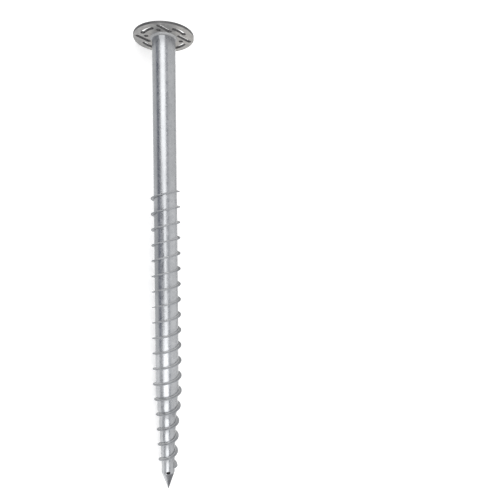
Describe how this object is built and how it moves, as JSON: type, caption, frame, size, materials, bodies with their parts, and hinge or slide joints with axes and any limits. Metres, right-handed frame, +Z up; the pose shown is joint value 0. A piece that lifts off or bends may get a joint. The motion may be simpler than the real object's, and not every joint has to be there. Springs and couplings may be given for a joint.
{
  "type": "foundation ground screw",
  "caption": "Galvanised steel ground screw: a slotted round head plate on a tube that narrows to a closed point, with a right-handed helical flight welded round it.",
  "frame": {"origin": "bottom centre of the bounding box of the screw as it lies on a level floor", "axes": "the shaft runs along X with the head plate at -X and the point at +X; Z is up; the axis falls 2.5 degrees from the plate to the flight's last full turn"},
  "size_m": [1.5028, 0.195, 0.1951],
  "materials": {
    "zinc_plate": "hot-dip galvanised, dull silver with fine mottling",
    "zinc_tube": "hot-dip galvanised, satin silver with a soft spangle",
    "zinc_flight": "hot-dip galvanised, satin silver",
    "zinc_nut": "hot-dip galvanised, bright",
    "zinc_weld": "hot-dip galvanised weld bead"
  },
  "bodies": {
    "root": {"flange_plate": "zinc_plate", "shaft_tube": "zinc_tube", "thread_flight": "zinc_flight", "centre_nut": "zinc_nut", "flange_weld": "zinc_weld", "flight_weld": "zinc_weld"}
  },
  "joints": []
}
